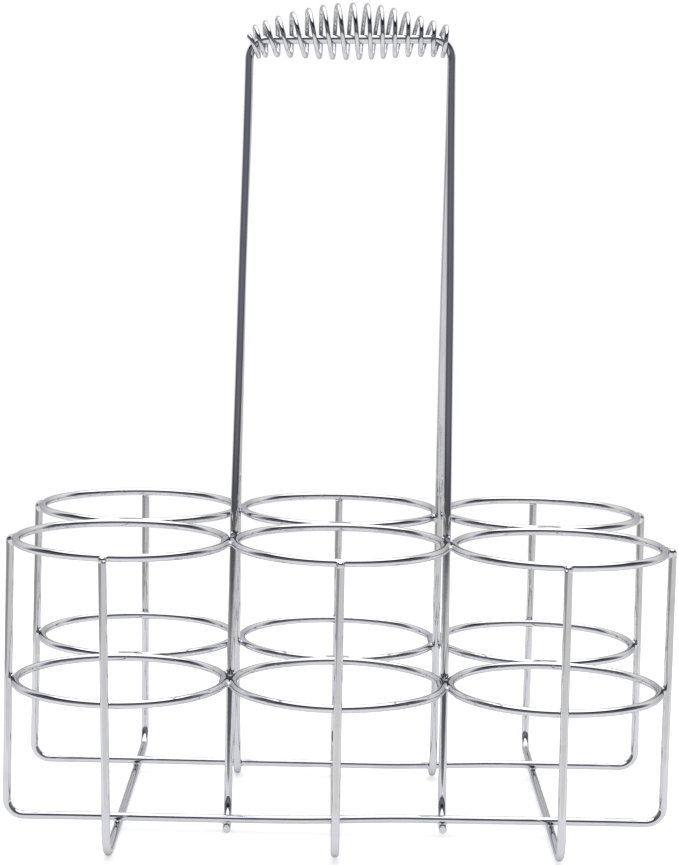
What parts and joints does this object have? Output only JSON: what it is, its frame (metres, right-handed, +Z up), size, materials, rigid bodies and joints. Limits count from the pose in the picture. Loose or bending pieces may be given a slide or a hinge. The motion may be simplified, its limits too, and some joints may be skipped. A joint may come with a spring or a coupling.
{
  "type": "wire bottle carrier",
  "caption": "Open carrier of bent chromed wire: joined rings at a lower and an upper level hold bottles upright, under a tall hoop handle with a barrel-shaped spring grip.",
  "frame": {"origin": "on the surface the carrier stands on, under the middle of its outline", "axes": "+Z up; X along the columns of rings and the grip; Y from the front row to the back row"},
  "size_m": [0.2616, 0.1766, 0.3256],
  "materials": {
    "wire": "bright chrome plate over round steel wire, with small weld beads where wires meet",
    "spring": "bright chrome plate over thin spring wire"
  },
  "bodies": {
    "root": {"ring_lower_front_left": "wire", "ring_lower_front_middle": "wire", "ring_lower_front_right": "wire", "ring_lower_back_left": "wire", "ring_lower_back_middle": "wire", "ring_lower_back_right": "wire", "ring_upper_front_left": "wire", "ring_upper_front_middle": "wire", "ring_upper_front_right": "wire", "ring_upper_back_left": "wire", "ring_upper_back_middle": "wire", "ring_upper_back_right": "wire", "cross_wire_left": "wire", "cross_wire_middle": "wire", "cross_wire_right": "wire", "long_wire_front": "wire", "long_wire_back": "wire", "handle_hoop_front": "wire", "handle_hoop_back": "wire", "grip_spring": "spring"}
  },
  "joints": []
}
